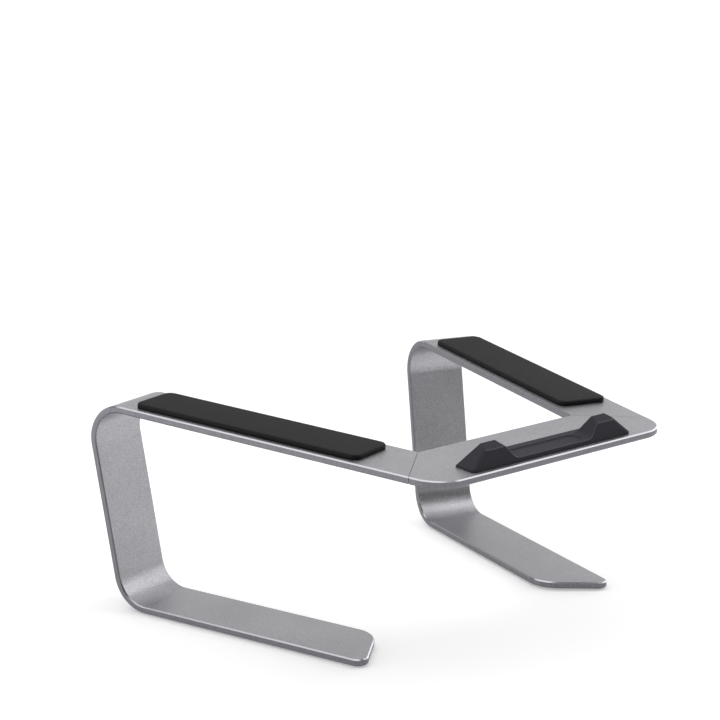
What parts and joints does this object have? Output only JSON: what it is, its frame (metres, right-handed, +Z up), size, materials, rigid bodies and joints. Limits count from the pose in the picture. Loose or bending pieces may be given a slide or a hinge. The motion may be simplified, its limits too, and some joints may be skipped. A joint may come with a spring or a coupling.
{
  "type": "laptop riser",
  "caption": "Open aluminium laptop riser: a front plate with a soft stop, and splayed arms that fold down and forward into flat feet.",
  "frame": {"origin": "on the table, under the middle of the riser's box", "axes": "+X to the right of someone sitting at the riser, +Y from the front plate to the rear bends, +Z up"},
  "size_m": [0.2888, 0.2358, 0.1232],
  "materials": {
    "anodised_sheet": "grey anodised, bead-blasted, with bright-cut edges",
    "stop_silicone": "matte dark grey moulding",
    "pad_rubber": "matte black sheet",
    "screw_steel": "dark plated"
  },
  "bodies": {
    "root": {"right_leg": "anodised_sheet", "left_leg": "anodised_sheet", "front_plate": "anodised_sheet", "front_stop": "stop_silicone", "right_arm_pad": "pad_rubber", "left_arm_pad": "pad_rubber", "right_front_foot_pad": "pad_rubber", "right_rear_foot_pad": "pad_rubber", "left_front_foot_pad": "pad_rubber", "left_rear_foot_pad": "pad_rubber", "joint_screws": "screw_steel"}
  },
  "joints": []
}
